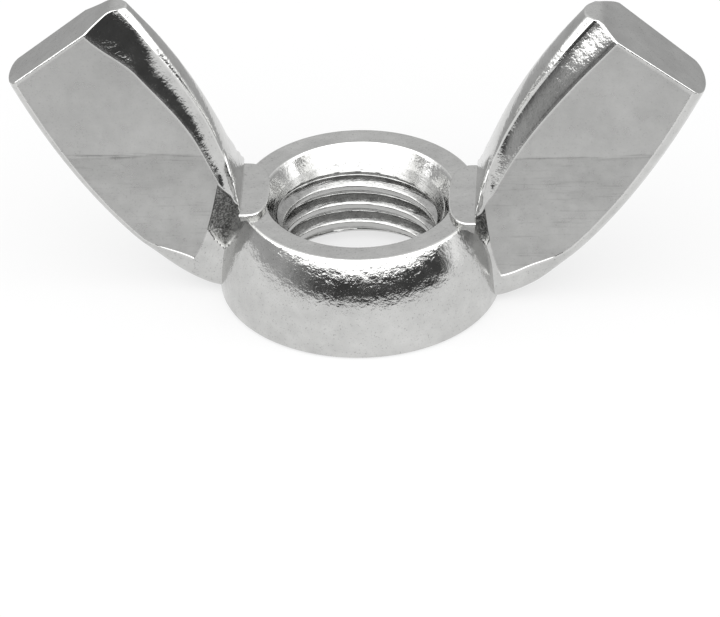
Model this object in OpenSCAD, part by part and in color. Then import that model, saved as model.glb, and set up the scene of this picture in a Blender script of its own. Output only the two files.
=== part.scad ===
// Wing nut, cold-forged, with two horn-shaped wings and a tapped boss.
// Millimetres. +Z runs up the thread's axis, +X towards the right wing.
// The origin is on the bearing face, at the centre of the bore.

/* [Thread] */
// Nominal (major) diameter of the thread
thread_d = 8; // [7.6:0.1:8.2]
// Axial distance from one crest to the next
thread_pitch = 1; // [0.8:0.05:1.25]
// Radius of the hole across the thread's crests
crest_r = 3.5; // [3.4:0.01:3.56]

/* [Boss] */
// Height of the boss, from the bearing face to the rim
boss_h = 4.8; // [4.4:0.1:5.2]
// Largest radius of the boss, low on its side
boss_r = 6.5; // [6.3:0.05:6.8]
// Outer radius of the flat rim
rim_r = 5.5; // [5.3:0.05:5.7]
// Height at which the shoulder's curve ends in an upright side
shoulder_foot_z = 0.6; // [0.5:0.05:0.8]
// Radius of the rounded bottom edge
foot_round = 0.2; // [0.1:0.05:0.4]
// Radius of the countersink at the rim
mouth_r = 4.4; // [4.2:0.05:4.6]
// Depth of the countersink
mouth_depth = 1.5; // [1.1:0.05:1.6]
// Depth of the chamfer at the bearing face
foot_chamfer = 0.7; // [0.5:0.05:0.8]
// Height of each plain land at the ends of the thread
land_h = 0.15; // [0.12:0.01:0.2]

/* [Wings] */
// Distance from the nut's axis to the outer corner of a wing's end face
tip_x = 16; // [15:0.1:17]
// Height of that outer corner
tip_z = 11.15; // [10.5:0.05:12]
// Distance from the nut's axis to the inner corner of the end face
crown_x = 10.75; // [10.2:0.05:11.2]
// Height of that inner corner, the top of the nut
crown_z = 15.25; // [14.5:0.05:16]
// Thickness of the left wing at its tip
left_tip_t = 2.2; // [2:0.05:2.8]
// Thickness of the right wing at its tip
right_tip_t = 3; // [2:0.05:3.2]
// How far the right wing and its pad sit in front of the left one
right_forward = 0.3; // [0:0.05:0.4]
// How far the flat panels lie below the rounded edges round them
panel_recess = 0.05; // [0.03:0.01:0.1]

/* [Root pads] */
// Height of each pad above the rim
pad_h = 0.25; // [0.15:0.05:0.4]
// Distance from the nut's axis to a pad's straight side
pad_x = 5.25; // [5.1:0.05:5.4]
// Length of the left pad along its straight side
left_pad_l = 4.5; // [4:0.1:4.6]
// Length of the right pad along its straight side
right_pad_l = 5; // [4:0.1:5.2]
// Width of the pad, from its straight side to the top of its curve
pad_w = 1.1; // [0.8:0.05:1.15]

/* [Hidden] */

$fn = 96;
thread_r = thread_d / 2;
// Radius of the shoulder's arc in section, upright where it meets the boss's side
shoulder_h = boss_h - shoulder_foot_z;
shoulder_in = boss_r - rim_r;
shoulder_r = (pow(shoulder_h, 2) + pow(shoulder_in, 2)) / (2 * shoulder_in);
shoulder_turn = asin(shoulder_h / shoulder_r);

land_top_z = boss_h - mouth_depth;
groove_top_z = land_top_z - land_h;
groove_foot_z = foot_chamfer + land_h;

// Flank of a 60 degree thread, and a crest a quarter of the pitch wide
flank_angle = 30;
crest_w = thread_pitch / 4;
ridge_over = 0.1;
steps_per_turn = 48;
ridge_turns = ceil((groove_top_z - groove_foot_z) / thread_pitch) + 1;
ridge_start_z = groove_foot_z - thread_pitch / 2;

shoulder_steps = 14;
foot_steps = 5;

// Stations along a wing, from its root in the boss (0) to its tip (1), closer at the root's flare
flare_stations = [0, 0.04, 0.09];
flare_end = 0.15;
body_steps = 16;
stations = concat(flare_stations, [for (i = [0:body_steps]) flare_end + (1 - flare_end) * i / body_steps]);
edge_angles = [0, 22.5, 45, 67.5, 90];
slice_t = 0.01;
// How far the pad reaches under the wing's foot, so that the two are one piece
pad_lap = 0.4;
// How square the pad's curved side is: 2 is an ellipse, and more is squarer
pad_square = 2.6;
pad_turns = [-90:7.5:90];

// The wing's two outlines, each a curve with four control points [x, z]
inner_root_x = pad_x + 0.15;
inner_root_z = 5.6;
outer_curve = [[5.5, 0.3], [7.5, -0.85], [12.3, 3.4], [tip_x, tip_z]];
inner_curve = [[inner_root_x, inner_root_z], [6.2, 8.8], [7.6, 11.7], [crown_x, crown_z]];

// How much thicker than its pad is long a wing's inner edge is, where it flares out at the boss
flare_over = 0.2;
// Station against how much thicker than its tip a wing is along its two edges
outer_swell = [[0, 0.8], [0.12, 0.55], [0.25, 0.4], [0.5, 0.15], [1, 0]];
inner_swell = [[0.05, 0.5], [0.12, 0.25], [0.3, 0.1], [1, 0]];
// Station against the length of each rounded edge, measured across the wing
outer_edge_len = [[0, 1.6], [0.25, 1.3], [0.5, 0.95], [1, 0.9]];
inner_edge_len = [[0, 1.4], [0.3, 1.6], [0.5, 1.3], [0.8, 1.5], [1, 2.1]];

// The flat panel starts at this station, and its foot comes to a point this far from the inner outline
panel_start = 0.235;
panel_steps = 12;
panel_foot_inset = 3.2;
// How far in from the rounded edges the panel is cut
panel_margin = 0.13;
// Station just off the wing, so that the panel's cut runs out through the end face
past_tip = 1.1;

// The notch between the boss and the panel, as [x, z], the web left in it, and how far out its cut reaches
notch = [[6.35, 2.3], [6.75, 3.4], [6.6, 5.6], [6.35, 6.1], [5.55, 4.9], [5.6, 3.6]];
notch_web = 1.3;
notch_reach = 3;

function curve_at(p, s) =
    pow(1 - s, 3) * p[0] + 3 * pow(1 - s, 2) * s * p[1]
    + 3 * (1 - s) * s * s * p[2] + pow(s, 3) * p[3];

function outer_half(s, tip_t) = tip_t / 2 + lookup(s, outer_swell);

function inner_half(s, tip_t, flare_t) =
    s < inner_swell[0][0]
        ? flare_t / 2 + (tip_t / 2 + inner_swell[0][1] - flare_t / 2) * s / inner_swell[0][0]
        : tip_t / 2 + lookup(s, inner_swell);

// Direction across the wing at a station, from the outer outline to the inner one
function across(s) =
    let (d = curve_at(inner_curve, s) - curve_at(outer_curve, s)) d / norm(d);

// Outline of the wing's section, as [distance across, distance off the middle plane]
function section(s, tip_t, flare_t) =
    let (
        len = norm(curve_at(inner_curve, s) - curve_at(outer_curve, s)),
        outer_len = lookup(s, outer_edge_len),
        inner_len = lookup(s, inner_edge_len),
        side = concat(
            [for (a = edge_angles) [outer_len * (1 - cos(a)), outer_half(s, tip_t) * sin(a)]],
            [for (i = [len(edge_angles) - 1:-1:0])
                let (a = edge_angles[i])
                [len - inner_len * (1 - cos(a)), inner_half(s, tip_t, flare_t) * sin(a)]]
        )
    )
    concat(side, [for (i = [len(side) - 2:-1:1]) [side[i][0], -side[i][1]]]);

// Thin slice of the wing, along the line from its outer outline to its inner one
module slice(s, tip_t, flare_t) {
    at = curve_at(outer_curve, s);
    dir = across(s);
    translate([at[0], 0, at[1]])
        rotate([0, -atan2(dir[1], dir[0]), 0])
            linear_extrude(slice_t)
                polygon(section(s, tip_t, flare_t));
}

// Solid stretch along Y of an outline given as [x, z], from y0 to y1
module side_block(outline, y0, y1) {
    translate([0, y1, 0])
        rotate([90, 0, 0])
            linear_extrude(y1 - y0)
                polygon(outline);
}

// Outline of the flat panel, sunk in the rounded body, as [x, z]
panel_stations = [for (i = [0:panel_steps]) panel_start + (1 - panel_start) * i / panel_steps];
panel_outline = concat(
    [for (s = panel_stations)
        let (inset = lookup(s, outer_edge_len) + panel_margin)
        curve_at(outer_curve, s) + across(s) * inset],
    [curve_at(outer_curve, past_tip), curve_at(inner_curve, past_tip)],
    [for (i = [panel_steps:-1:0])
        let (s = panel_stations[i], inset = lookup(s, inner_edge_len) + panel_margin)
        curve_at(inner_curve, s) - across(s) * inset],
    [curve_at(inner_curve, panel_start) - across(panel_start) * panel_foot_inset]
);

// Solid through rings that have equally many points each
module skin(rings) {
    n = len(rings[0]);
    last = len(rings) - 1;
    sides = [for (r = [0:last - 1], i = [0:n - 1])
        let (a = r * n + i, b = r * n + (i + 1) % n)
        each [[a, b, a + n], [b, b + n, a + n]]];
    caps = [[for (i = [n - 1:-1:0]) i], [for (i = [0:n - 1]) last * n + i]];
    polyhedron([for (r = rings) each r], concat(sides, caps));
}

// Points of an arc in the profile, from angle a0 to a1
function arc(cx, cz, r, a0, a1, steps) =
    [for (i = [0:steps]) let (a = a0 + (a1 - a0) * i / steps) [cx + r * cos(a), cz + r * sin(a)]];

module boss_solid() {
    rotate_extrude()
        polygon(concat(
            [[crest_r + foot_chamfer, 0]],
            arc(boss_r - foot_round, foot_round, foot_round, -90, 0, foot_steps),
            arc(boss_r - shoulder_r, shoulder_foot_z, shoulder_r, 0, shoulder_turn, shoulder_steps),
            [
                [mouth_r, boss_h],
                [crest_r, land_top_z],
                [crest_r, groove_top_z],
                [thread_r, groove_top_z],
                [thread_r, groove_foot_z],
                [crest_r, groove_foot_z],
                [crest_r, foot_chamfer]
            ]
        ));
}

// D-shaped pad on the rim, at the foot of the right wing
module root_pad(pad_l) {
    pad_foot_z = boss_h - (mouth_r - pad_x + pad_w) * mouth_depth / (mouth_r - crest_r);
    translate([0, 0, pad_foot_z])
        linear_extrude(boss_h + pad_h - pad_foot_z)
            polygon(concat(
                [for (a = pad_turns)
                    [pad_x - pad_w * pow(cos(a), 2 / pad_square),
                     -sign(a) * pad_l / 2 * pow(abs(sin(a)), 2 / pad_square)]],
                [[pad_x + pad_lap, -pad_l / 2], [pad_x + pad_lap, pad_l / 2]]
            ));
}

// Wing on the right with its pad, set forward and cut to meet the boss face to face
module wing(tip_t, pad_l, forward) {
    difference() {
        translate([0, -forward, 0])
            difference() {
                union() {
                    for (i = [0:len(stations) - 2])
                        hull() {
                            slice(stations[i], tip_t, pad_l + flare_over);
                            slice(stations[i + 1], tip_t, pad_l + flare_over);
                        }
                    root_pad(pad_l);
                }
                for (side = [-1, 1])
                    scale([1, side, 1]) {
                        side_block(panel_outline, tip_t / 2 - panel_recess, notch_reach);
                        side_block(notch, notch_web / 2, notch_reach);
                    }
            }
        boss_solid();
    }
}

// One section of the thread's ridge, at turn t from its start
function ridge_section(t) =
    let (
        z = ridge_start_z + t * thread_pitch,
        foot_w = crest_w / 2 + (thread_r + ridge_over - crest_r) * tan(flank_angle),
        side = [[crest_r, -crest_w / 2], [thread_r + ridge_over, -foot_w],
                [thread_r + ridge_over, foot_w], [crest_r, crest_w / 2]]
    )
    [for (p = side) [p[0] * cos(360 * t), p[0] * sin(360 * t), z + p[1]]];

module boss() {
    color("silver") boss_solid();
}

module right_wing() {
    color("lightgray") wing(right_tip_t, right_pad_l, right_forward);
}

module left_wing() {
    color("lightgray") mirror([1, 0, 0]) wing(left_tip_t, left_pad_l, 0);
}

// Right-hand ridge of the thread, which fills the groove between the two lands
module internal_thread() {
    color("darkgray")
        intersection() {
            skin([for (i = [0:ridge_turns * steps_per_turn]) ridge_section(i / steps_per_turn)]);
            translate([0, 0, groove_foot_z])
                cylinder(r = thread_r, h = groove_top_z - groove_foot_z);
        }
}

boss();
left_wing();
right_wing();
internal_thread();
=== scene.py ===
"""Wing nut: the visual model, its materials and its studio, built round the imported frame.

Shapes are worked out in millimetres in the part's own frame and written to meshes in metres.
+Z runs up the thread's axis, +X towards the right wing, and the camera looks from -Y.
"""

import math
from types import SimpleNamespace

import bpy
import numpy as np
from mathutils import Matrix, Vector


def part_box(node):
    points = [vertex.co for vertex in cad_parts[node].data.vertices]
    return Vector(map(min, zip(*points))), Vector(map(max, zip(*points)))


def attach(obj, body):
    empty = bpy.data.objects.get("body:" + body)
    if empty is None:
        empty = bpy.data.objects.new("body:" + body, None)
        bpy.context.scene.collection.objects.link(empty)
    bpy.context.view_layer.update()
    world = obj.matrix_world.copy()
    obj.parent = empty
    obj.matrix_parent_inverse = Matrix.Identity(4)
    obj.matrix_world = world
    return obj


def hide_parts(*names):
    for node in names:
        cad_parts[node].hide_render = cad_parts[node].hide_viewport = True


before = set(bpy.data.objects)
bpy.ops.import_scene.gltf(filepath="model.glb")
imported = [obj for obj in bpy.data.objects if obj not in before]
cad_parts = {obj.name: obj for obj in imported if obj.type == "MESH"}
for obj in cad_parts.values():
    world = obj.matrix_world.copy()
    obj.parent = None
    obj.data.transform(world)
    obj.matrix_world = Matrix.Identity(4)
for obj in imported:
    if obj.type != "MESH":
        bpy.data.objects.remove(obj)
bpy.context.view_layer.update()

MM = 0.001

# ---------------------------------------------------------------- driving dimensions, in mm

# From the boxes of the CAD nodes
boss_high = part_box("boss")[1]
wing_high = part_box("right_wing")[1]
thread_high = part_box("internal_thread")[1]
BOSS_R = boss_high.x / MM
BOSS_H = boss_high.z / MM
TIP_X = wing_high.x / MM
CROWN_Z = wing_high.z / MM
THREAD_R = thread_high.x / MM

# Thread: one of its crests passes the back of the bore at CREST_BACK_Z, and its corners are softened
CREST_R = 3.5
PITCH = 1.0
CREST_FLAT = 0.25
CREST_BACK_Z = 2.85
FLANK = math.radians(30)
THREAD_SOFT = 0.03

# Boss: a turned shape, with a rounded shoulder, a flat rim, a countersink and a chamfer at the foot
RIM_R = 5.5
SHOULDER_FOOT_Z = 0.6
FOOT_ROUND = 0.2
MOUTH_R = 4.4
MOUTH_DEPTH = 1.5
FOOT_CHAMFER = 0.7
BEARING_IN_R = CREST_R + FOOT_CHAMFER
RIM_OUT_ROUND = 0.16
RIM_IN_ROUND = 0.07
# Where the rim's inner rounding stops, in degrees from the horizontal
RIM_IN_END = 150
# Small bevels where the countersink and the chamfer end
BEVEL_W = 0.05
BEVEL_H = 0.03
# Distance of a flat face's own loops from its edges, which keeps its shading flat
FLAT_EDGE = 0.04
BEARING_EDGE = 0.15
# Height of the bright wear at the rim's edges, and how far it stays below the flat
RIM_WEAR = 0.06
RIM_WEAR_END = 0.001

# Sleeve: between these heights the bore belongs to the thread's piece, which laps under the boss
SLEEVE_FOOT_Z = 0.25
SLEEVE_TOP_Z = 4.05
SLEEVE_LAP = 0.08
SLEEVE_SINK = 0.02
SLEEVE_R = THREAD_R + 0.3
SLEEVE_GAP = 0.1
# The thread is worn bright up to this far behind its crests
CREST_WEAR = 0.03

# Wing tips, and the panels' recess with the wall beside it
TIP_Z = 11.15
CROWN_X = 10.75
PANEL_RECESS = 0.05
PANEL_WALL = 0.05
TIP_ROUND = 0.07

# Pads: D shapes on the rim, whose skirts are drawn in towards the bottom. A square of 2 is round.
PAD_TOP_Z = BOSS_H + 0.25
PAD_X = 5.25
PAD_W = 1.12
PAD_ROUND = 0.1
PAD_LAP = 0.2
PAD_SQUARE = 2.6
PAD_MIDDLE_X = PAD_X - 0.15
PAD_INNER_RING = 0.7
PAD_LEAST_SHARE = 0.05
# A layer drawn in by up to this much is worn bright
PAD_WORN = PAD_ROUND * 0.7
# Layers of a skirt as (distance drawn in, height over the rim)
PAD_SKIRT = [(0.6, -0.7), (0.42, -0.35), (0.24, -0.1), (0.1, 0.04), (0.02, 0.12)]

# Both wings as if on the +X side. Curves are cubic, of [x, z] seen from the front. Tables pair a station
# along the wing, from root (0) to tip (1), with a size there. A nose is the depth of a rounded edge, full is
# how square it is, and a slope is thickness lost for each mm. The parting line runs along the inner edge,
# line_in from its crest, where the wing is line_h thick to either side. A panel may rise towards the inner
# edge by wedge, and a wing and its pad may sit forward of the middle.
LEFT = SimpleNamespace(
    tip_t=2.2,
    wedge=0.08,
    forward=0.0,
    pad_half_l=2.22,
    outer_curve=np.array([[5.5, 0.3], [7.45, -0.75], [12.3, 3.4], [TIP_X, TIP_Z]]),
    inner_curve=np.array([[PAD_X + 0.15, 5.35], [6.2, 8.8], [7.6, 11.7], [CROWN_X, CROWN_Z + 0.18]]),
    panel_start=0.25,
    foot_lean=0.1,
    outer_nose=[(0, 1.2), (0.25, 1.15), (0.5, 0.5), (1, 0.5)],
    outer_swell=[(0, 0.4), (0.12, 0.14), (0.25, 0.02), (0.5, 0.0), (1, 0.0)],
    inner_nose=[(0, 0.75), (0.1, 1.25), (0.25, 1.75), (0.5, 1.5), (0.8, 1.65), (1, 2.15)],
    crease_slope=[(0, 0.0), (0.15, 0.2), (0.3, 0.7), (0.65, 0.68), (1, 0.45)],
    line_in=[(0, 0.16), (0.06, 0.25), (0.12, 0.3), (1, 0.3)],
    line_h=[(0, 2.25), (0.06, 1.85), (0.12, 1.4), (0.25, 0.9), (0.45, 0.72), (0.75, 0.7), (1, 0.5)],
    crest_slope=[(0, 0.0), (0.12, 0.1), (0.3, 0.8), (1, 0.8)],
    crest_full=[(0, 0.85), (0.12, 0.75), (0.3, 0.6), (1, 0.6)],
    notch_low=0.37,
)
RIGHT = SimpleNamespace(
    tip_t=2.9,
    wedge=0.35,
    forward=0.3,
    pad_half_l=2.5,
    outer_curve=np.array([[5.5, 0.35], [7.6, -1.0], [12.25, 3.45], [TIP_X, TIP_Z]]),
    inner_curve=np.array([[PAD_X + 0.15, 5.35], [6.2, 8.8], [7.6, 11.7], [CROWN_X, CROWN_Z + 0.2]]),
    panel_start=0.12,
    foot_lean=0.12,
    outer_nose=[(0, 1.2), (0.25, 1.3), (0.5, 0.8), (1, 0.75)],
    outer_swell=[(0, 0.4), (0.12, 0.04), (0.25, 0.02), (0.5, 0.0), (1, 0.0)],
    inner_nose=[(0, 0.75), (0.1, 1.2), (0.25, 1.5), (0.5, 1.5), (0.8, 1.55), (1, 1.6)],
    crease_slope=[(0, 0.0), (0.1, 0.1), (0.3, 0.5), (1, 0.48)],
    line_in=[(0, 0.16), (0.06, 0.25), (0.12, 0.3), (1, 0.35)],
    line_h=[(0, 2.5), (0.06, 2.0), (0.12, 1.6), (0.25, 1.2), (0.45, 1.0), (0.75, 0.95), (1, 0.8)],
    crest_slope=[(0, 0.0), (0.12, 0.1), (0.3, 0.8), (1, 0.9)],
    crest_full=[(0, 0.85), (0.12, 0.75), (0.3, 0.6), (1, 0.6)],
    notch_low=0.49,
)
OUTER_FULL = [(0, 0.9), (0.2, 0.8), (0.45, 0.55), (1, 0.55)]
OUTER_SLOPE = 0.08
# The outer edge's swell over the panel dies out across this share of the root
SWELL_FADE = 0.25
# The parting line stands proud, from a station on and over a length of stations
PARTING_RIDGE = 0.02
RIDGE_START = 0.1
RIDGE_FADE = 0.2
# Share of the inner edge's rise that is taken up by the land next to the parting line
LAND_RISE = 0.12
# How far the band's control points stand from its two ends, as a share of its run
LAND_REACH = 0.35
CREASE_REACH = 0.4

# The corner at the top of the tip is rounded back by this much of a station, over this share of the width
CROWN_ROUND = 0.034
CROWN_SHARE = 0.13
CROWN_FROM = 0.8

# The panel's foot leans out at its lower corner. The lean falls off by a power across the wing, and dies
# out at this station.
FOOT_LEAN_POWER = 4
FOOT_LEAN_END = 0.6
# The notch is a step and a slope down from the panel's foot to the boss. Its lower edge starts at notch_low
# of the way across the wing, and falls away towards the boss. It fades out short of the crease.
NOTCH_STEP = 0.15
NOTCH_SLOPE = 0.6
NOTCH_FLOOR = 0.4
NOTCH_FALL = 0.04
NOTCH_WALL = 0.1
# The notch grows rougher and takes painted shade, a darker tone, until it is cut this deep
NOTCH_ROUGH_AND_SHADE_DEPTH = 0.15
NOTCH_FADE = 0.12

# Bright wear at the panel's edges and on the parting line, from 0 to 1
PANEL_EDGE_WEAR = 0.6
PARTING_WEAR = 0.9

# ---------------------------------------------------------------- how finely the meshes are made

BOSS_TURNS = 240
FOOT_STEPS = 8
SHOULDER_STEPS = 40
RIM_OUT_STEPS = 6
RIM_IN_STEPS = 5
MOUTH_POINTS = 10
CHAMFER_POINTS = 5
THREAD_TURNS = 288
THREAD_LEVELS = 132

NOSE_STEPS = 14
BAND_STEPS = 9
CREST_STEPS = 13
PANEL_COLUMNS = 44
PANEL_ROWS = 84
ROOT_ROWS = 26
# Rows crowd towards the root by this power, and the last one stops short of the panel's foot
ROOT_CROWDING = 1.4
FOOT_STEP = 0.006
# Rings round the tip's rounded edge, as (degrees turned, extra inset)
TIP_RINGS = [(0, 0), (22, 0), (45, 0), (68, 0), (90, 0), (90, FLAT_EDGE)]

PAD_OUTLINE_POINTS = 61
PAD_ROUND_DEGREES = [22.5, 45, 67.5, 90]

# Edges that bend by more degrees than this are shaded sharp
SHARP = 35
THREAD_SHARP = 40
WING_SHARP = 16


# ---------------------------------------------------------------- small tools


def bezier(points, s):
    """Point of a cubic curve at s."""
    a, b, c, d = points
    return (1 - s) ** 3 * a + 3 * (1 - s) ** 2 * s * b + 3 * (1 - s) * s * s * c + s**3 * d


def smooth(x):
    """0 below 0, 1 above 1, with an even rise between."""
    x = float(np.clip(x, 0, 1))
    return x * x * (3 - 2 * x)


def ease(table, s):
    """Value of a table of (station, value) at s, with no kink at its knots."""
    for (s0, v0), (s1, v1) in zip(table, table[1:]):
        if s <= s1:
            return v0 + (v1 - v0) * smooth((s - s0) / (s1 - s0))
    return table[-1][1]


def arc(cx, cz, r, start, end, steps):
    """Points [r, z] of an arc, with angles in degrees."""
    angles = np.radians(np.linspace(start, end, steps + 1))
    return [(cx + r * math.cos(a), cz + r * math.sin(a)) for a in angles]


def grid_faces(rows, columns, wrap_rows=False, wrap_columns=False):
    """Quads of a grid of rows x columns points, numbered row by row."""
    faces = []
    for i in range(rows if wrap_rows else rows - 1):
        for j in range(columns if wrap_columns else columns - 1):
            ni = (i + 1) % rows
            nj = (j + 1) % columns
            faces.append((i * columns + j, i * columns + nj, ni * columns + nj, ni * columns + j))
    return faces


def turned(faces):
    """The same faces, facing the other way."""
    return [face[::-1] for face in faces]


def make_piece(name, points_mm, faces, material, nodes, marks, sharp=SHARP):
    """Mesh object that rides on the nut's body and stands for CAD nodes.

    marks are named values for each point, which the material reads.
    """
    mesh = bpy.data.meshes.new(name)
    mesh.from_pydata((np.asarray(points_mm, float) * MM).tolist(), [], faces)
    mesh.validate()
    for label, values in marks.items():
        layer = mesh.attributes.new(label, "FLOAT", "POINT")
        layer.data.foreach_set("value", np.asarray(values, np.float32))
    mesh.shade_smooth()
    mesh.set_sharp_from_angle(angle=math.radians(sharp))
    mesh.materials.append(material)
    piece = bpy.data.objects.new(name, mesh)
    bpy.context.scene.collection.objects.link(piece)
    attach(piece, "root")
    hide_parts(*nodes)
    return piece


# ---------------------------------------------------------------- boss and thread


def mouth_radius(z):
    """Radius of the countersink at height z."""
    return MOUTH_R - (MOUTH_R - CREST_R) * (BOSS_H - z) / MOUTH_DEPTH


def foot_radius(z):
    """Radius of the chamfer at the bearing face at height z."""
    return BEARING_IN_R - z * (BEARING_IN_R - CREST_R) / FOOT_CHAMFER


def boss_profile():
    """Closed section of the boss as [r, z], anticlockwise from the bearing face."""
    rise = BOSS_H - SHOULDER_FOOT_Z
    lean = BOSS_R - RIM_R
    shoulder_r = (rise**2 + lean**2) / (2 * lean)
    centre_r = BOSS_R - shoulder_r
    # The rim's outer rounding touches the shoulder's arc from inside and the rim from below
    round_z = BOSS_H - RIM_OUT_ROUND
    touch = math.asin((round_z - SHOULDER_FOOT_Z) / (shoulder_r - RIM_OUT_ROUND))
    round_r = centre_r + (shoulder_r - RIM_OUT_ROUND) * math.cos(touch)
    touch_degrees = math.degrees(touch)
    inner_round_r = MOUTH_R + RIM_IN_ROUND
    wall_r = SLEEVE_R + SLEEVE_GAP

    points = [(BEARING_IN_R + BEVEL_W, 0)]
    points += [(BEARING_IN_R + BEARING_EDGE, 0), (BOSS_R - FOOT_ROUND - BEARING_EDGE, 0)]
    points += arc(BOSS_R - FOOT_ROUND, FOOT_ROUND, FOOT_ROUND, -90, 0, FOOT_STEPS)
    points += arc(centre_r, SHOULDER_FOOT_Z, shoulder_r, 0, touch_degrees, SHOULDER_STEPS)
    points += arc(round_r, round_z, RIM_OUT_ROUND, touch_degrees, 90, RIM_OUT_STEPS)[1:]
    points += [(round_r - FLAT_EDGE, BOSS_H), (inner_round_r + FLAT_EDGE, BOSS_H)]
    points += arc(inner_round_r, BOSS_H - RIM_IN_ROUND, RIM_IN_ROUND, 90, RIM_IN_END, RIM_IN_STEPS)
    mouth_top_z = points[-1][1] - BEVEL_H
    points += [(mouth_radius(z), z) for z in np.linspace(mouth_top_z, SLEEVE_TOP_Z, MOUTH_POINTS)]
    points += [(wall_r, SLEEVE_TOP_Z), (wall_r, SLEEVE_FOOT_Z)]
    points += [(foot_radius(z), z) for z in np.linspace(SLEEVE_FOOT_Z, BEVEL_H, CHAMFER_POINTS)]
    return points


def build_boss(material):
    """Boss turned from its section, with a groove that holds the thread's sleeve."""
    profile = boss_profile()
    points = []
    for i in range(BOSS_TURNS):
        turn = 2 * math.pi * i / BOSS_TURNS
        points += [(r * math.cos(turn), r * math.sin(turn), z) for r, z in profile]
    faces = turned(grid_faces(BOSS_TURNS, len(profile), wrap_rows=True, wrap_columns=True))
    worn = [BOSS_H - RIM_WEAR < z < BOSS_H - RIM_WEAR_END for _, z in profile]
    marks = {"wear": [float(edge) for edge in worn] * BOSS_TURNS, "satin": [0.0] * len(points)}
    return make_piece("boss_forging", points, faces, material, ["boss"], marks)


def thread_radius(turn, z):
    """Radius of the tapped wall, a right-hand thread of 60 degrees with softened corners."""
    phase = (z - CREST_BACK_Z) / PITCH - (turn - math.pi / 2) / (2 * math.pi)
    off_crest = abs(phase - round(phase)) * PITCH
    depth = (off_crest - CREST_FLAT / 2) / math.tan(FLANK)
    rise = (depth + math.sqrt(depth**2 + THREAD_SOFT**2)) / 2
    left = THREAD_R - CREST_R - rise
    return THREAD_R - (left + math.sqrt(left**2 + THREAD_SOFT**2)) / 2


def build_thread(material):
    """Sleeve with the tapped bore, where the thread runs out into the countersink and the chamfer."""
    foot_z = SLEEVE_FOOT_Z - SLEEVE_LAP
    top_z = SLEEVE_TOP_Z + SLEEVE_LAP
    middle_z = (foot_z + top_z) / 2
    half = (top_z - foot_z) / 2
    points = []
    wear = []
    for i in range(THREAD_TURNS):
        turn = 2 * math.pi * i / THREAD_TURNS
        for z in np.linspace(foot_z, top_z, THREAD_LEVELS):
            tapped = thread_radius(turn, z)
            cut = max(mouth_radius(z), foot_radius(z))
            # The two laps sink a little behind the boss's own surface
            sunk = SLEEVE_SINK * smooth((abs(z - middle_z) - half + SLEEVE_LAP) / SLEEVE_LAP)
            r = max(tapped, cut) + sunk
            points.append((r * math.cos(turn), r * math.sin(turn), z))
            wear.append(1.0 if tapped < CREST_R + CREST_WEAR and cut < tapped else 0.0)
        for z in (top_z, foot_z):
            points.append((SLEEVE_R * math.cos(turn), SLEEVE_R * math.sin(turn), z))
            wear.append(0.0)
    columns = len(points) // THREAD_TURNS
    faces = grid_faces(THREAD_TURNS, columns, wrap_rows=True, wrap_columns=True)
    return make_piece("tapped_bore", points, faces, material, ["internal_thread"],
                      {"wear": wear}, THREAD_SHARP)


# ---------------------------------------------------------------- wings


def rounded_edge(depth, height, slope, fullness, steps):
    """Half of a rounded edge as [distance in from its crest, half thickness].

    It runs from the crest to (depth, height). A fullness of 0.55 is an ellipse, and 1 is square.
    """
    controls = np.array([
        [0, 0],
        [0, height * fullness],
        [depth * (1 - fullness), height - slope * depth * fullness],
        [depth, height],
    ])
    return [bezier(controls, k / steps) for k in range(steps + 1)]


def inner_edge(wing, s, flat, ridge):
    """The inner edge from its crest to the panel's crease, with the parting line between."""
    depth = ease(wing.inner_nose, s)
    line_in = ease(wing.line_in, s)
    line_h = ease(wing.line_h, s)
    slope = ease(wing.crest_slope, s)
    crest = rounded_edge(line_in, line_h, slope, ease(wing.crest_full, s), CREST_STEPS)
    crest[-1] = crest[-1] + np.array([0, ridge])
    run = depth - line_in
    controls = np.array([
        [line_in, line_h],
        [line_in + run * LAND_REACH, line_h + (flat - line_h) * LAND_RISE],
        [depth - run * CREASE_REACH, flat - ease(wing.crease_slope, s) * run * CREASE_REACH],
        [depth, flat],
    ])
    band = [bezier(controls, k / BAND_STEPS) for k in range(1, BAND_STEPS + 1)]
    return crest + band


def chord(wing, s):
    """Start, direction and length of the line across the wing at station s."""
    start = bezier(wing.outer_curve, s)
    line = bezier(wing.inner_curve, s) - start
    length = float(np.linalg.norm(line))
    return start, line / length, length


def notch_depth(wing, s, across, flat):
    """How deep the notch is cut at a station, at a share of the way across the wing."""
    foot = wing.panel_start
    gap = (bezier(wing.outer_curve, foot)[0] - bezier(wing.outer_curve, s)[0]) * (1 - across)
    gap += (bezier(wing.inner_curve, foot)[0] - bezier(wing.inner_curve, s)[0]) * across
    inside = smooth((across - wing.notch_low + NOTCH_FALL * gap) / NOTCH_WALL)
    return min(NOTCH_STEP + NOTCH_SLOPE * gap, flat - NOTCH_FLOOR) * inside


def leaned_station(wing, s, q):
    """Station moved towards the tip near the panel's foot, most on the outer side, and back at the crown."""
    foot = wing.panel_start
    if s < foot:
        share = smooth(s / foot)
    else:
        share = 1 - smooth((s - foot) / (FOOT_LEAN_END - foot))
    crown = max(q - 1 + CROWN_SHARE, 0) / CROWN_SHARE
    near_tip = smooth((s - CROWN_FROM) / (1 - CROWN_FROM))
    lean = wing.foot_lean * share * (1 - q) ** FOOT_LEAN_POWER
    return s + lean - CROWN_ROUND * crown**2 * near_tip


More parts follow.
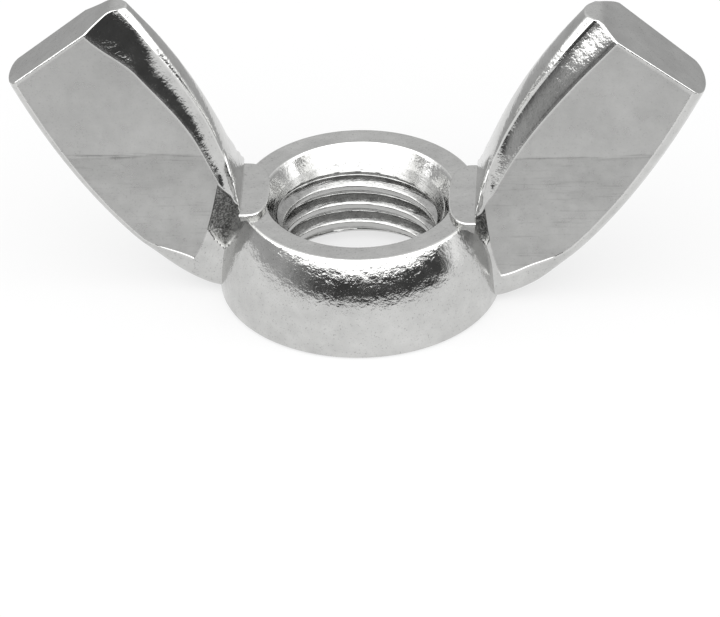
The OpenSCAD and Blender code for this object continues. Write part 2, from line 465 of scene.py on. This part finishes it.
def wing_row(wing, s, on_panel):
    """One row of the wing as [distance across, half thickness], outer crest first.

    It comes with its marks, and with the length of the chord.
    """
    length = chord(wing, s)[2]
    flat = wing.tip_t / 2 - PANEL_RECESS
    outer_depth = ease(wing.outer_nose, s)
    outer_h = flat + ease(wing.outer_swell, s)
    outer = rounded_edge(outer_depth, outer_h, OUTER_SLOPE, ease(OUTER_FULL, s), NOSE_STEPS)
    ridge = PARTING_RIDGE * smooth((s - RIDGE_START) / RIDGE_FADE)
    inner = inner_edge(wing, s, flat + wing.wedge * s, ridge)

    start = outer_depth + PANEL_WALL
    end = length - inner[-1][0]
    middle = []
    middle_dull_and_shade = []
    for k in range(PANEL_COLUMNS + 1):
        q = k / PANEL_COLUMNS
        v = start + (end - start) * q
        h = flat + wing.wedge * s * q
        cut = 0.0
        if not on_panel:
            cut = notch_depth(wing, s, v / length, flat) * smooth((1 - q) / NOTCH_FADE)
            h += (outer_h - flat) * (1 - smooth(q / SWELL_FADE)) - cut
        middle.append((v, h))
        # Painted shade and rougher metal in the notch, growing as it is cut deeper
        middle_dull_and_shade.append(smooth(cut / NOTCH_ROUGH_AND_SHADE_DEPTH))

    # The inner edge's last point is the crease, where the middle ends
    row = [tuple(point) for point in outer] + middle + [(length - v, h) for v, h in inner[-2::-1]]
    before = [0.0] * len(outer)
    after = [0.0] * (len(inner) - 1)
    wear = [0.0] * len(row)
    if on_panel:
        outer_end = len(outer) - 1
        crease = len(outer) + PANEL_COLUMNS
        wear[outer_end] = PANEL_EDGE_WEAR
        wear[crease] = PANEL_EDGE_WEAR
    parting_line = len(row) - 1 - CREST_STEPS
    wear[parting_line] = PARTING_WEAR
    satin = before + [float(on_panel)] * len(middle) + after
    dull_and_shade = before + middle_dull_and_shade + after
    return row, {"wear": wear, "satin": satin, "dull_and_shade": dull_and_shade}, length


def wing_stations(foot):
    """Pairs of a station and whether its row lies on the flat panel, which starts at foot."""
    root = [(foot - FOOT_STEP) * (i / ROOT_ROWS) ** ROOT_CROWDING for i in range(ROOT_ROWS + 1)]
    panel = [foot + (1 - foot) * i / PANEL_ROWS for i in range(PANEL_ROWS + 1)]
    return [(s, False) for s in root] + [(s, True) for s in panel]


def tip_ring(row, length, angle, extra_inset):
    """The tip's row drawn in for its edge rounding, and how far it moves out along the wing."""
    inset = TIP_ROUND * (1 - math.cos(angle)) + extra_inset
    widest = max(h for _, h in row)
    middle = length / 2
    shorter = 1 - 2 * inset / length
    thinner = 1 - inset / widest
    shrunk = [(middle + (v - middle) * shorter, h * thinner) for v, h in row]
    return shrunk, TIP_ROUND * (math.sin(angle) - 1)


def ring_points(wing, row, length, s, shift):
    """Points round the wing at station s, from a row for its front, moved out along the wing by shift."""
    front = []
    for v, h in row:
        q = v / length
        start, direction, here = chord(wing, leaned_station(wing, s, q))
        outward = np.array([direction[1], -direction[0]])
        x, z = start + direction * q * here + outward * shift
        front.append((x, -h, z))
    ring = front + [(x, -y, z) for x, y, z in front[-2:0:-1]]
    return [(x, y - wing.forward, z) for x, y, z in ring]


def wing_points(wing):
    """Rings of points round a wing on the +X side, root first, as an array of ring x point x xyz.

    They come with the marks at each point.
    """
    rings = []
    marks = {"wear": [], "satin": [], "dull_and_shade": []}

    def add_ring(row, row_marks, length, s, shift=0.0):
        rings.append(ring_points(wing, row, length, s, shift))
        for label, values in row_marks.items():
            marks[label].append(values + values[-2:0:-1])

    for s, on_panel in wing_stations(wing.panel_start):
        row, row_marks, length = wing_row(wing, s, on_panel)
        if s < 1:
            add_ring(row, row_marks, length, s)
            continue
        none = [0.0] * len(row)
        for degrees, extra_inset in TIP_RINGS:
            angle = math.radians(degrees)
            shrunk, shift = tip_ring(row, length, angle, extra_inset)
            edge = [math.sin(2 * angle)] * len(row)
            add_ring(shrunk, {"wear": edge, "satin": none, "dull_and_shade": none}, length, s, shift)
    return np.array(rings), {label: np.array(values).ravel() for label, values in marks.items()}


def cap_faces(first, columns, flip):
    """Faces straight across a ring of points, from its front half to its back half."""
    faces = []
    for a in range(columns // 2):
        b = a + 1
        corners = [first + a, first + b, first + (columns - b) % columns, first + (columns - a) % columns]
        # At either end of the ring two corners are the same point
        corners = tuple(dict.fromkeys(corners))
        faces.append(corners[::-1] if flip else corners)
    return faces


def build_wing(name, node, wing, side, material):
    """Wing on the +X (side 1) or -X (side -1) side, closed at the root inside the boss and at the tip."""
    rings, marks = wing_points(wing)
    rings[:, :, 0] *= side
    rows, columns = rings.shape[:2]
    faces = grid_faces(rows, columns, wrap_columns=True)
    faces += cap_faces(0, columns, True)
    faces += cap_faces((rows - 1) * columns, columns, False)
    if side > 0:
        faces = turned(faces)
    return make_piece(name, rings.reshape(-1, 3), faces, material, [node], marks, WING_SHARP)


# ---------------------------------------------------------------- root pads


def pad_outline(half_l):
    """Outline [x, y] of a pad on the +X side, with its straight side run on into the wing."""
    curve = []
    for angle in np.radians(np.linspace(-90, 90, PAD_OUTLINE_POINTS)):
        in_x = math.cos(angle) ** (2 / PAD_SQUARE)
        along_y = math.copysign(abs(math.sin(angle)) ** (2 / PAD_SQUARE), angle)
        curve.append((PAD_X - PAD_W * in_x, -half_l * along_y))
    lap_x = PAD_X + PAD_LAP
    return curve + [(lap_x, -half_l), (lap_x, half_l)]


def pad_layers():
    """Layers of a pad from inside the boss to its top, as (distance drawn in, height)."""
    layers = [(inset, BOSS_H + over_rim) for inset, over_rim in PAD_SKIRT]
    layers.append((0.0, PAD_TOP_Z - PAD_ROUND))
    for angle in np.radians(PAD_ROUND_DEGREES):
        layers.append((PAD_ROUND * (1 - math.cos(angle)), PAD_TOP_Z - PAD_ROUND * (1 - math.sin(angle))))
    layers.append((PAD_ROUND + FLAT_EDGE, PAD_TOP_Z))
    layers.append((PAD_INNER_RING, PAD_TOP_Z))
    return layers


def build_pad(name, node, wing, side, material):
    """D-shaped pad on the rim at the foot of a wing, with a rounded top edge, sunk into the boss."""
    outline = np.array(pad_outline(wing.pad_half_l))
    middle = np.array([PAD_MIDDLE_X, 0.0])
    reach = np.linalg.norm(outline - middle, axis=1, keepdims=True)
    layers = pad_layers()
    columns = len(outline)
    points = []
    wear = []
    for inset, z in layers:
        ring = middle + (outline - middle) * np.maximum(1 - inset / reach, PAD_LEAST_SHARE)
        points += [(side * x, y - wing.forward, z) for x, y in ring]
        wear += [1.0 if 0 < inset <= PAD_WORN else 0.0] * columns
    faces = grid_faces(len(layers), columns, wrap_columns=True)
    last = (len(layers) - 1) * columns
    faces.append(tuple(range(columns))[::-1])
    faces.append(tuple(range(last, last + columns)))
    if side < 0:
        faces = turned(faces)
    marks = {"wear": wear, "satin": [0.0] * len(points)}
    return make_piece(name, points, faces, material, [node], marks)


# ---------------------------------------------------------------- materials

# Noises as (scale for each mm, detail, roughness), and the run that most of a noise's values lie in
BROAD = (0.45, 2.0, 0.55)
CLOUDY = (1.6, 3.0, 0.55)
WAVY = (1.1, 1.0, 0.55)
PEEL = (4.0, 2.0, 0.5)
GRAIN = (11.0, 2.0, 0.6)
DIE_LINES = (2.0, 3.0, 0.6)
WANDER = (0.8, 2.0, 0.55)
THREAD_CLOUDY = (2.2, 3.0, 0.55)
THREAD_GRAIN = (9.0, 3.0, 0.6)
TOOL_MARKS = (1.2, 3.0, 0.55)
NOISE_LOW = 0.3
NOISE_HIGH = 0.7
# How much finer a noise is along x, y and z: die lines run along the panels, and tool marks round the bore
DIE_STRETCH = (0.25, 1.0, 4.0)
TOOL_STRETCH = (0.5, 0.5, 12.0)

# Greys and roughnesses, as (low, high) over a noise's run or as one value
SKIN_TONE = (0.53, 0.60)
PANEL_TONE = (0.42, 0.47)
CLOUD_TONE = (-0.03, 0.03)
# Painted shade in the notches: the darker tone they take
NOTCH_SHADE_TONE = (0.12, 0.42)
WORN_TONE = 0.70
SKIN_ROUGH = (0.05, 0.13)
PANEL_ROUGH = (0.26, 0.38)
WORN_ROUGH = 0.14
DULL_ROUGH = 0.4
THREAD_TONE = (0.36, 0.50)
THREAD_WORN_TONE = 0.52
THREAD_ROUGH = (0.12, 0.26)
WARMTH = 0.985

# Where on a noise each kind of mark starts and is full, and how much darker it makes the metal
SPECK_RUN = (0.60, 0.70)
# The notches' painted shade follows the grain over this run
NOTCH_SHADE_RUN = (0.45, 0.62)
STREAK_RUN = (0.42, 0.60)
SCRATCH_RUN = (0.58, 0.68)
THREAD_SPECK_RUN = (0.55, 0.70)
SPECK_DARK = 0.14
SCRATCH_DARK = 0.05
THREAD_SPECK_DARK = 0.15
# Share of the specks that shows on the panels
PANEL_SPECKS = 0.45

# Panel line: the panels are darker below a line at this height, in mm. The line tilts and wanders a little,
# the darkening starts over the edge run and fades downwards over the fade run, both measured from the line.
PANEL_LINE_Z = 7.79
PANEL_LINE_TILT = 0.024
PANEL_LINE_W = 0.12
PANEL_LINE_WANDER = 0.12
PANEL_LINE_EDGE = (-0.05, 0.02)
PANEL_LINE_FADE = (-3.5, -0.3)
PANEL_LINE_FADED = 0.4
BELOW_LINE_DARK = 0.055
PANEL_LINE_DARK = 0.17

# Bump: the depth in mm that a height of 1 stands for, and the share of each noise in the height
BUMP_DEPTH = 0.012
WAVY_SHARE = 1.6
SKIN_GRAIN = 0.45
PANEL_DIE_LINES = 0.35
PANEL_GRAIN = 0.12
THREAD_GRAIN_SHARE = 0.4


class Nodes:
    """Shorthand for building a node tree. A value may be a number or another node's output."""

    def __init__(self, tree):
        self.tree = tree
        tree.nodes.clear()

    def add(self, kind, **settings):
        """New node with the given settings."""
        node = self.tree.nodes.new(kind)
        for key, value in settings.items():
            setattr(node, key, value)
        return node

    def feed(self, socket, value):
        """Links an output to the socket, or sets it to a plain value."""
        if isinstance(value, bpy.types.NodeSocket):
            self.tree.links.new(value, socket)
        else:
            socket.default_value = value

    def math(self, operation, a, b=0.0, c=0.0):
        """Result of a Math node on up to three values."""
        node = self.add("ShaderNodeMath", operation=operation)
        for socket, value in zip(node.inputs, (a, b, c)):
            self.feed(socket, value)
        return node.outputs[0]

    def plus(self, a, b):
        """a + b."""
        return self.math("ADD", a, b)

    def less(self, a, b):
        """a - b."""
        return self.math("SUBTRACT", a, b)

    def times(self, first, *others):
        """Product of two or more values."""
        product = first
        for other in others:
            product = self.math("MULTIPLY", product, other)
        return product

    def noise(self, where, scale, detail, roughness):
        """Noise from 0 to 1."""
        node = self.add("ShaderNodeTexNoise")
        self.feed(node.inputs["Vector"], where)
        node.inputs["Scale"].default_value = scale
        node.inputs["Detail"].default_value = detail
        node.inputs["Roughness"].default_value = roughness
        return node.outputs["Fac"]

    def remap(self, value, low, high, to_low, to_high, smooth_step=False):
        """Value brought from one range to another, and held at its ends."""
        node = self.add("ShaderNodeMapRange", interpolation_type="SMOOTHSTEP" if smooth_step else "LINEAR")
        for socket, item in zip(node.inputs, (value, low, high, to_low, to_high)):
            self.feed(socket, item)
        return node.outputs[0]

    def spread(self, noise, to_low, to_high):
        """Noise brought from the run that most of it lies in to another range."""
        return self.remap(noise, NOISE_LOW, NOISE_HIGH, to_low, to_high)

    def mix(self, share, a, b):
        """Number between a and b."""
        node = self.add("ShaderNodeMix", data_type="FLOAT")
        self.feed(node.inputs[0], share)
        self.feed(node.inputs[2], a)
        self.feed(node.inputs[3], b)
        return node.outputs[0]

    def mark(self, name):
        """One of the values that the mesh holds for each point."""
        return self.add("ShaderNodeAttribute", attribute_name=name, attribute_type="GEOMETRY").outputs["Fac"]

    def grey(self, value):
        """Grey of a value, a touch warm."""
        node = self.add("ShaderNodeCombineColor")
        self.feed(node.inputs[0], value)
        self.feed(node.inputs[1], value)
        self.feed(node.inputs[2], self.times(value, WARMTH))
        return node.outputs[0]

    def bump(self, height, depth_mm):
        """Normal of a surface with this height, where 1 stands for depth_mm."""
        node = self.add("ShaderNodeBump")
        node.inputs["Strength"].default_value = 1.0
        node.inputs["Distance"].default_value = depth_mm * MM
        self.feed(node.inputs["Height"], height)
        return node.outputs[0]

    def place(self, x=1.0, y=1.0, z=1.0):
        """Place on the object in mm, stretched along each axis."""
        coordinates = self.add("ShaderNodeTexCoord")
        mapping = self.add("ShaderNodeMapping")
        self.feed(mapping.inputs["Vector"], coordinates.outputs["Object"])
        mapping.inputs["Scale"].default_value = (x / MM, y / MM, z / MM)
        return mapping.outputs["Vector"]


def new_material(name):
    """Material with an empty node tree, and the shorthand for building it."""
    material = bpy.data.materials.new(name)
    material.use_nodes = True
    return material, Nodes(material.node_tree)


def finish_metal(nodes, tone, roughness, normal):
    """Bare metal of a grey tone, wired to the material's output."""
    shader = nodes.add("ShaderNodeBsdfPrincipled")
    shader.inputs["Metallic"].default_value = 1.0
    nodes.feed(shader.inputs["Base Color"], nodes.grey(tone))
    nodes.feed(shader.inputs["Roughness"], roughness)
    nodes.feed(shader.inputs["Normal"], normal)
    output = nodes.add("ShaderNodeOutputMaterial")
    nodes.feed(output.inputs["Surface"], shader.outputs[0])


def darker_below_line(nodes, tone, die_lines, across):
    """Panel tone, darker below a line across the panels and in streaks along it, with scratches below it."""
    split = nodes.add("ShaderNodeSeparateXYZ")
    nodes.feed(split.inputs[0], nodes.add("ShaderNodeTexCoord").outputs["Object"])
    panel_line_z = nodes.math("MULTIPLY_ADD", split.outputs[0], PANEL_LINE_TILT, PANEL_LINE_Z * MM)
    wander = nodes.spread(nodes.noise(across, *WANDER), -PANEL_LINE_WANDER * MM, PANEL_LINE_WANDER * MM)
    off_line = nodes.less(nodes.plus(split.outputs[2], wander), panel_line_z)

    lower = nodes.remap(off_line, PANEL_LINE_EDGE[0] * MM, PANEL_LINE_EDGE[1] * MM, 1.0, 0.0)
    fade = nodes.remap(off_line, PANEL_LINE_FADE[0] * MM, PANEL_LINE_FADE[1] * MM, PANEL_LINE_FADED, 1.0)
    tone = nodes.less(tone, nodes.times(lower, fade, BELOW_LINE_DARK))
    line = nodes.remap(nodes.math("ABSOLUTE", off_line), 0.0, PANEL_LINE_W * MM, 1.0, 0.0)
    streaks = nodes.remap(die_lines, *STREAK_RUN, 0.0, 1.0)
    tone = nodes.less(tone, nodes.times(line, streaks, PANEL_LINE_DARK))
    scratches = nodes.remap(die_lines, *SCRATCH_RUN, 0.0, SCRATCH_DARK)
    return nodes.less(tone, nodes.times(scratches, lower))


def plated_steel():
    """Bright plate on a forged skin: satin on the panels, brighter on worn edges, and rougher in the notches,
    where shade is painted in as a darker tone.
    """
    material, nodes = new_material("plated_steel")
    place = nodes.place()
    across = nodes.place(*DIE_STRETCH)
    broad = nodes.noise(place, *BROAD)
    cloudy = nodes.noise(place, *CLOUDY)
    peel = nodes.noise(place, *PEEL)
    grain = nodes.noise(place, *GRAIN)
    die_lines = nodes.noise(across, *DIE_LINES)
    wear = nodes.mark("wear")
    satin = nodes.mark("satin")
    # Mark of the notches, where the metal is rougher and shade is painted in
    dull_and_shade = nodes.mark("dull_and_shade")

    skin_tone = nodes.spread(broad, *SKIN_TONE)
    panel_tone = darker_below_line(nodes, nodes.spread(broad, *PANEL_TONE), die_lines, across)
    tone = nodes.mix(satin, skin_tone, panel_tone)
    tone = nodes.plus(tone, nodes.spread(cloudy, *CLOUD_TONE))
    speck = nodes.remap(grain, *SPECK_RUN, 0.0, SPECK_DARK)
    tone = nodes.less(tone, nodes.times(speck, nodes.mix(satin, 1.0, PANEL_SPECKS)))
    # Painted shade: the notches take a darker tone
    tone = nodes.mix(dull_and_shade, tone, nodes.remap(grain, *NOTCH_SHADE_RUN, *NOTCH_SHADE_TONE))
    tone = nodes.mix(wear, tone, WORN_TONE)

    rough = nodes.mix(satin, nodes.spread(cloudy, *SKIN_ROUGH), nodes.spread(cloudy, *PANEL_ROUGH))
    rough = nodes.mix(wear, rough, WORN_ROUGH)
    rough = nodes.mix(dull_and_shade, rough, DULL_ROUGH)

    wavy = nodes.times(nodes.noise(place, *WAVY), WAVY_SHARE)
    skin_height = nodes.plus(nodes.plus(peel, wavy), nodes.times(grain, SKIN_GRAIN))
    panel_height = nodes.plus(nodes.times(die_lines, PANEL_DIE_LINES), nodes.times(grain, PANEL_GRAIN))
    normal = nodes.bump(nodes.mix(satin, skin_height, panel_height), BUMP_DEPTH)
    finish_metal(nodes, tone, rough, normal)
    return material


def thread_steel():
    """Cut thread: fine tool marks run round it, and the plate is darker away from the crests."""
    material, nodes = new_material("thread_steel")
    place = nodes.place()
    cloudy = nodes.noise(place, *THREAD_CLOUDY)
    grain = nodes.noise(place, *THREAD_GRAIN)
    tool = nodes.noise(nodes.place(*TOOL_STRETCH), *TOOL_MARKS)

    tone = nodes.spread(cloudy, *THREAD_TONE)
    tone = nodes.less(tone, nodes.remap(grain, *THREAD_SPECK_RUN, 0.0, THREAD_SPECK_DARK))
    tone = nodes.mix(nodes.mark("wear"), tone, THREAD_WORN_TONE)
    rough = nodes.spread(cloudy, *THREAD_ROUGH)
    height = nodes.plus(tool, nodes.times(grain, THREAD_GRAIN_SHARE))
    finish_metal(nodes, tone, rough, nodes.bump(height, BUMP_DEPTH))
    return material


# ---------------------------------------------------------------- studio

WHITE = (1, 1, 1, 1)

# How bright each part of the tent is
FRONT_LEVEL = 2.8
MID_LEVEL = 0.5
STRIP_LEVEL = 1.4
BACK_LEVEL = 0.55
TOP_LEVEL = 1.0
DARK_LEVEL = 0.07

# Where one part gives way to another, as (start, end). Bearings are in degrees from straight in front,
# growing towards +X.
RIGHT_SIDE = (72, 90)
LEFT_SIDE = (-25, -75)
STRIP_END = (96, 106)
BEHIND = (84, 116)
# Heights above the horizon, in radians: where the front turns bright, where the back's upper part takes
# over, and how far up that part grows brighter
FRONT_HEIGHT = (math.radians(10), math.radians(13))
BACK_HEIGHT = (math.radians(5), math.radians(35))
BACK_TOP = (0.0, math.radians(75))


def studio_world():
    """Soft tent of light, which the camera sees as white.

    It is bright in front from a low height up, over a dark gap. The gap ends in a middling level at the
    sides, with a brighter strip at the right. The back is dimmer, and grows a little brighter upwards.
    """
    world = bpy.data.worlds.new("studio")
    bpy.context.scene.world = world
    world.use_nodes = True
    nodes = Nodes(world.node_tree)
    split = nodes.add("ShaderNodeSeparateXYZ")
    nodes.feed(split.inputs[0], nodes.add("ShaderNodeTexCoord").outputs["Generated"])
    x, y, z = split.outputs
    height = nodes.math("ARCSINE", z)
    bearing = nodes.math("DEGREES", nodes.math("ARCTAN2", x, nodes.times(y, -1.0)))

    from_right = nodes.remap(bearing, *RIGHT_SIDE, 0.0, 1.0, smooth_step=True)
    from_left = nodes.remap(bearing, *LEFT_SIDE, 0.0, 1.0, smooth_step=True)
    strip = nodes.times(from_right, nodes.remap(bearing, *STRIP_END, 1.0, 0.0, smooth_step=True))
    behind = nodes.remap(nodes.math("ABSOLUTE", bearing), *BEHIND, 0.0, 1.0, smooth_step=True)

    aside = nodes.math("MAXIMUM", from_right, from_left)
    low = nodes.mix(aside, DARK_LEVEL, nodes.mix(strip, MID_LEVEL, STRIP_LEVEL))
    low = nodes.mix(behind, low, BACK_LEVEL)
    high = nodes.mix(behind, FRONT_LEVEL, nodes.remap(height, *BACK_TOP, BACK_LEVEL, TOP_LEVEL))
    high_front = nodes.remap(height, *FRONT_HEIGHT, 0.0, 1.0, smooth_step=True)
    high_back = nodes.remap(height, *BACK_HEIGHT, 0.0, 1.0, smooth_step=True)
    strength = nodes.mix(nodes.mix(behind, high_front, high_back), low, high)

    seen = nodes.add("ShaderNodeLightPath").outputs["Is Camera Ray"]
    background = nodes.add("ShaderNodeBackground")
    background.inputs["Color"].default_value = WHITE
    nodes.feed(background.inputs["Strength"], nodes.mix(seen, strength, 1.0))
    output = nodes.add("ShaderNodeOutputWorld")
    nodes.feed(output.inputs["Surface"], background.outputs[0])


# Floor's radius in metres, its sides, grey, roughness and glow
FLOOR_R = 0.037
FLOOR_SIDES = 96
FLOOR_GREY = (0.18, 0.18, 0.18, 1)
FLOOR_ROUGH = 0.9
FLOOR_GLOW = 0.68


def floor_material():
    """Pale matt sheet with a faint light of its own, and clear when seen from underneath."""
    material, nodes = new_material("floor")
    sheet = nodes.add("ShaderNodeBsdfPrincipled")
    sheet.inputs["Base Color"].default_value = FLOOR_GREY
    sheet.inputs["Roughness"].default_value = FLOOR_ROUGH
    sheet.inputs["Specular IOR Level"].default_value = 0.0
    sheet.inputs["Emission Color"].default_value = WHITE
    sheet.inputs["Emission Strength"].default_value = FLOOR_GLOW
    clear = nodes.add("ShaderNodeBsdfTransparent")
    sides = nodes.add("ShaderNodeMixShader")
    nodes.feed(sides.inputs[0], nodes.add("ShaderNodeNewGeometry").outputs["Backfacing"])
    nodes.feed(sides.inputs[1], sheet.outputs[0])
    nodes.feed(sides.inputs[2], clear.outputs[0])
    output = nodes.add("ShaderNodeOutputMaterial")
    nodes.feed(output.inputs["Surface"], sides.outputs[0])
    return material


def studio_floor():
    """Round sheet under the nut, as on a light table."""
    mesh = bpy.data.meshes.new("floor")
    turns = [2 * math.pi * k / FLOOR_SIDES for k in range(FLOOR_SIDES)]
    rim = [(FLOOR_R * math.cos(a), FLOOR_R * math.sin(a), 0) for a in turns]
    mesh.from_pydata(rim, [], [tuple(range(FLOOR_SIDES))])
    mesh.materials.append(floor_material())
    floor = bpy.data.objects.new("floor", mesh)
    bpy.context.scene.collection.objects.link(floor)


# Distance and aim in metres, lens in mm
CAMERA_AZIMUTH = math.radians(2.9)
CAMERA_ELEVATION = math.radians(33.9)
CAMERA_ROLL = math.radians(-1.2)
CAMERA_DISTANCE = 0.455
CAMERA_AIM = (0.0001, -0.0035, 0.0008)
CAMERA_LENS = 494
CAMERA_NEAR = 0.01


def add_camera():
    """Long lens, from a little to the right of the nut's front and well above it."""
    data = bpy.data.cameras.new("camera")
    data.lens = CAMERA_LENS
    data.clip_start = CAMERA_NEAR
    camera = bpy.data.objects.new("camera", data)
    bpy.context.scene.collection.objects.link(camera)
    flat = CAMERA_DISTANCE * math.cos(CAMERA_ELEVATION)
    place = Matrix.Translation((
        CAMERA_AIM[0] + flat * math.sin(CAMERA_AZIMUTH),
        CAMERA_AIM[1] - flat * math.cos(CAMERA_AZIMUTH),
        CAMERA_AIM[2] + CAMERA_DISTANCE * math.sin(CAMERA_ELEVATION),
    ))
    turn = Matrix.Rotation(CAMERA_AZIMUTH, 4, "Z")
    tilt = Matrix.Rotation(math.pi / 2 - CAMERA_ELEVATION, 4, "X")
    roll = Matrix.Rotation(CAMERA_ROLL, 4, "Z")
    camera.matrix_world = place @ turn @ tilt @ roll
    bpy.context.scene.camera = camera


# ---------------------------------------------------------------- making it

steel = plated_steel()
cut_steel = thread_steel()
build_boss(steel)
build_thread(cut_steel)
build_wing("left_wing_forging", "left_wing", LEFT, -1, steel)
build_wing("right_wing_forging", "right_wing", RIGHT, 1, steel)
build_pad("left_root_pad", "left_wing", LEFT, -1, steel)
build_pad("right_root_pad", "right_wing", RIGHT, 1, steel)
studio_world()
studio_floor()
add_camera()
bpy.context.scene.view_settings.view_transform = "Standard"
